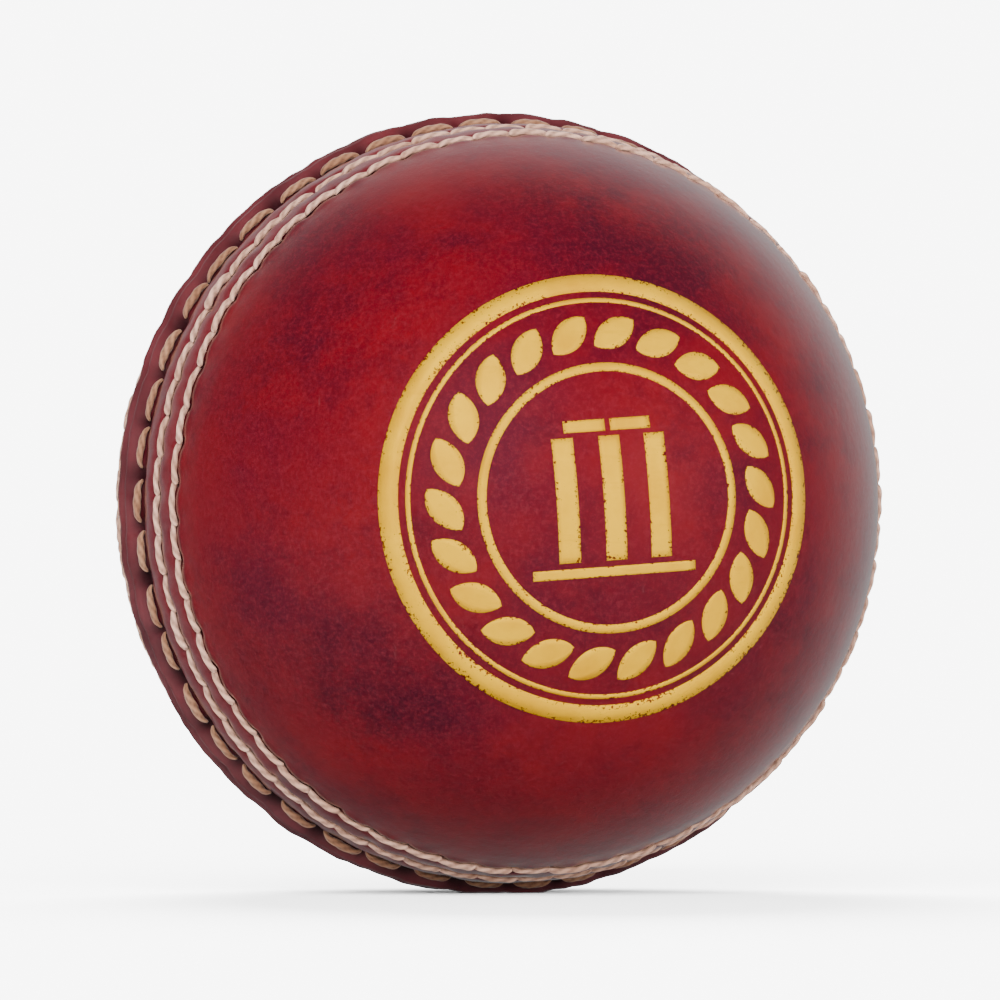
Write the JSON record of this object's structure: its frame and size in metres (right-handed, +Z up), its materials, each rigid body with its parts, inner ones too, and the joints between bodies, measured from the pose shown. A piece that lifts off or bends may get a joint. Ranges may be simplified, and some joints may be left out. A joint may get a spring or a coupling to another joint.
{
  "type": "cricket ball",
  "caption": "Hard leather-covered ball: two stitched cups with a raised seam round a wound cork and yarn centre, foil roundel on one side.",
  "frame": {"origin": "centre of the ball", "axes": "+Y is the pole of the plain rear cup, -Y the pole of the foil-stamped front cup, and the seam lies in the XZ plane; +Z up"},
  "size_m": [0.074, 0.0721, 0.074],
  "materials": {
    "red_leather": "polished",
    "waxed_linen": "waxed",
    "row_linen": "waxed",
    "gold_foil": "satin",
    "cork": "matte",
    "worsted_yarn": "matte",
    "core_rubber": "matte"
  },
  "bodies": {
    "root": {"closing_thread": "waxed_linen", "core": "core_rubber", "cork_1_back": "cork", "cork_1_bottom": "cork", "cork_1_fore": "cork", "cork_1_left": "cork", "cork_1_right": "cork", "cork_1_top": "cork", "cork_2_back": "cork", "cork_2_bottom": "cork", "cork_2_fore": "cork", "cork_2_left": "cork", "cork_2_right": "cork", "cork_2_top": "cork", "cork_3_back": "cork", "cork_3_bottom": "cork", "cork_3_fore": "cork", "cork_3_left": "cork", "cork_3_right": "cork", "cork_3_top": "cork", "cork_4_back": "cork", "cork_4_bottom": "cork", "cork_4_fore": "cork", "cork_4_left": "cork", "cork_4_right": "cork", "cork_4_top": "cork", "foil_stamp": "gold_foil", "front_cup": "red_leather", "front_middle_row": "row_linen", "front_outer_row": "row_linen", "rear_cup": "red_leather", "rear_middle_row": "row_linen", "rear_outer_row": "row_linen", "yarn_winding_1": "worsted_yarn", "yarn_winding_2": "worsted_yarn", "yarn_winding_3": "worsted_yarn", "yarn_winding_4": "worsted_yarn", "yarn_winding_5": "worsted_yarn"}
  },
  "joints": []
}
